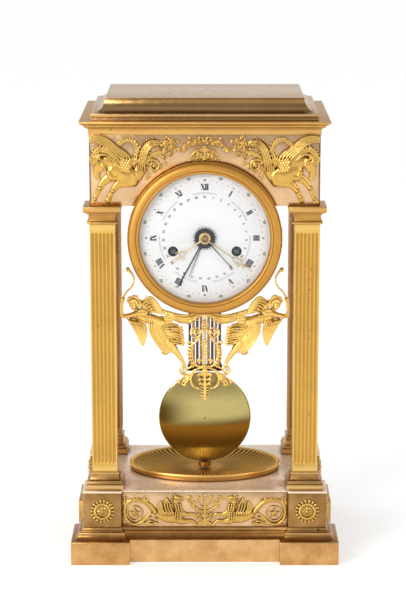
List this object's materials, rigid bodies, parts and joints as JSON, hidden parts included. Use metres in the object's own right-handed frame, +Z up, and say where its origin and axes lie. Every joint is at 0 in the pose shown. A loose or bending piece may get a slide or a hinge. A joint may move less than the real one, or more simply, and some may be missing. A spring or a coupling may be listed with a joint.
{
  "type": "portico clock",
  "caption": "Gilt portico mantel clock: fluted pillars on a stepped base carry an entablature, a hung drum with a white dial, and a gridiron pendulum over a dish.",
  "frame": {"origin": "under the middle of the plinth, on the surface that it stands on", "axes": "+Z up, -Y the way the dial faces, +X to the right as seen from the front"},
  "size_m": [0.28, 0.2, 0.4855],
  "materials": {
    "gilt_bronze": "matte gilding with burnished edges",
    "polished_gilt": "burnished gilding",
    "satin_brass": "satin",
    "movement_brass": "fine brushed",
    "steel": "satin",
    "blued_steel": "heat-blued, nearly black",
    "enamel": "glossy white enamel",
    "glass": "clear"
  },
  "bodies": {
    "case": {"plinth": "gilt_bronze", "corner_dies": "polished_gilt", "base_panels": "polished_gilt", "floor_plate": "polished_gilt", "base_rosettes": "gilt_bronze", "griffin_mount_left": "gilt_bronze", "griffin_mount_right": "gilt_bronze", "palmette_mount": "gilt_bronze", "dish": "satin_brass", "dish_well": "satin_brass", "pillar_feet": "gilt_bronze", "front_pillar_shafts": "gilt_bronze", "rear_pillar_shafts": "gilt_bronze", "pillar_capitals": "gilt_bronze", "tie_rods": "steel", "tie_rod_nuts": "steel", "frieze_front": "polished_gilt", "frieze_panels": "polished_gilt", "sea_horse_mount_left": "gilt_bronze", "sea_horse_mount_right": "gilt_bronze", "garland_mount": "gilt_bronze", "cornice": "gilt_bronze", "roof_cap": "polished_gilt", "drum_case": "satin_brass", "dial": "enamel", "apron_centre_mount": "gilt_bronze", "figure_mount_left": "gilt_bronze", "figure_mount_right": "gilt_bronze", "movement_front_plate": "movement_brass", "movement_back_plate": "movement_brass", "plate_pillars": "movement_brass", "suspension_cock": "movement_brass", "bell": "movement_brass", "hinge_pins": "steel"},
    "bezel": {"bezel_ring": "gilt_bronze", "bezel_glass": "glass"},
    "rear_door": {"rear_door": "satin_brass"},
    "centre": {"centre_wheel": "movement_brass", "minute_hand": "gilt_bronze"},
    "hour": {"hour_wheel": "movement_brass", "hour_hand": "gilt_bronze"},
    "date": {"date_hand": "blued_steel"},
    "weekday": {"weekday_hand": "blued_steel"},
    "year": {"year_hand": "blued_steel"},
    "minute_wheel": {"minute_wheel": "movement_brass"},
    "second_wheel": {"second_wheel": "movement_brass"},
    "third_wheel": {"third_wheel": "movement_brass"},
    "escape_wheel": {"escape_wheel": "movement_brass"},
    "going_barrel": {"going_barrel": "movement_brass"},
    "going_arbor": {"going_arbor": "steel"},
    "strike_barrel": {"strike_barrel": "movement_brass"},
    "strike_arbor": {"strike_arbor": "steel"},
    "anchor": {"anchor": "steel"},
    "hammer": {"hammer": "steel"},
    "pendulum": {"pendulum_rod": "steel", "gridiron_steel_rods": "steel", "gridiron_brass_rods": "movement_brass", "gridiron_bars": "blued_steel", "bob": "satin_brass"},
    "rating_nut": {"rating_nut": "blued_steel"}
  },
  "joints": [
    {"name": "bezel_hinge", "type": "hinge", "parent": "case", "child": "bezel", "pos_m": [0.0777, -0.0772, 0.3445], "axis": [0, 0, 1], "range_deg": [0, 75]},
    {"name": "rear_door_hinge", "type": "hinge", "parent": "case", "child": "rear_door", "pos_m": [-0.0722, 0.0346, 0.3445], "axis": [0, 0, 1], "range_deg": [0, 100]},
    {"name": "minute_turn", "type": "hinge", "parent": "case", "child": "centre", "pos_m": [0, -0.077, 0.3445], "axis": [0, 1, 0], "continuous": true},
    {"name": "hour_turn", "type": "hinge", "parent": "case", "child": "hour", "pos_m": [0, -0.077, 0.3445], "axis": [0, 1, 0], "continuous": true},
    {"name": "date_turn", "type": "hinge", "parent": "case", "child": "date", "pos_m": [0, -0.077, 0.3445], "axis": [0, 1, 0], "continuous": true},
    {"name": "weekday_turn", "type": "hinge", "parent": "case", "child": "weekday", "pos_m": [0, -0.077, 0.3445], "axis": [0, 1, 0], "continuous": true},
    {"name": "year_turn", "type": "hinge", "parent": "case", "child": "year", "pos_m": [0, -0.077, 0.3445], "axis": [0, 1, 0], "continuous": true},
    {"name": "minute_wheel_turn", "type": "hinge", "parent": "case", "child": "minute_wheel", "pos_m": [0, -0.077, 0.3221], "axis": [0, 1, 0], "continuous": true},
    {"name": "second_wheel_turn", "type": "hinge", "parent": "case", "child": "second_wheel", "pos_m": [0.01664, -0.077, 0.35772], "axis": [0, 1, 0], "continuous": true},
    {"name": "third_wheel_turn", "type": "hinge", "parent": "case", "child": "third_wheel", "pos_m": [-0.00608, -0.077, 0.36276], "axis": [0, 1, 0], "continuous": true},
    {"name": "escape_wheel_turn", "type": "hinge", "parent": "case", "child": "escape_wheel", "pos_m": [0, -0.077, 0.3805], "axis": [0, 1, 0], "continuous": true},
    {"name": "going_barrel_turn", "type": "hinge", "parent": "case", "child": "going_barrel", "pos_m": [0.0325, -0.077, 0.3305], "axis": [0, 1, 0], "continuous": true},
    {"name": "going_winding", "type": "hinge", "parent": "case", "child": "going_arbor", "pos_m": [0.0325, -0.077, 0.3305], "axis": [0, 1, 0], "continuous": true},
    {"name": "strike_barrel_turn", "type": "hinge", "parent": "case", "child": "strike_barrel", "pos_m": [-0.0325, -0.077, 0.3305], "axis": [0, 1, 0], "continuous": true},
    {"name": "strike_winding", "type": "hinge", "parent": "case", "child": "strike_arbor", "pos_m": [-0.0325, -0.077, 0.3305], "axis": [0, 1, 0], "continuous": true},
    {"name": "pendulum_swing", "type": "hinge", "parent": "case", "child": "pendulum", "pos_m": [0, -0.004, 0.396], "axis": [0, 1, 0], "range_deg": [-3, 3]},
    {"name": "anchor_rock", "type": "hinge", "parent": "case", "child": "anchor", "pos_m": [0, -0.004, 0.396], "axis": [0, 1, 0], "range_deg": [-3, 3]},
    {"name": "rating_turn", "type": "hinge", "parent": "pendulum", "child": "rating_nut", "pos_m": [0, -0.004, 0.082], "axis": [0, 0, 1], "continuous": true},
    {"name": "hammer_swing", "type": "hinge", "parent": "case", "child": "hammer", "pos_m": [0.034, 0, 0.3045], "axis": [0, 1, 0], "range_deg": [0, 15], "stiffness_Nm_per_rad": 0.02}
  ],
  "couplings": [
    {"joint": "hour_turn", "follows": "minute_turn", "ratio": 0.083333},
    {"joint": "date_turn", "follows": "minute_turn", "ratio": 0.0013441},
    {"joint": "weekday_turn", "follows": "minute_turn", "ratio": 0.0059524},
    {"joint": "year_turn", "follows": "minute_turn", "ratio": 0.00011408},
    {"joint": "minute_wheel_turn", "follows": "minute_turn", "ratio": -0.33333},
    {"joint": "second_wheel_turn", "follows": "minute_turn", "ratio": -0.13333},
    {"joint": "going_barrel_turn", "follows": "minute_turn", "ratio": 0.016667},
    {"joint": "third_wheel_turn", "follows": "minute_turn", "ratio": -10},
    {"joint": "escape_wheel_turn", "follows": "minute_turn", "ratio": 97.143},
    {"joint": "anchor_rock", "follows": "pendulum_swing", "ratio": 1}
  ]
}
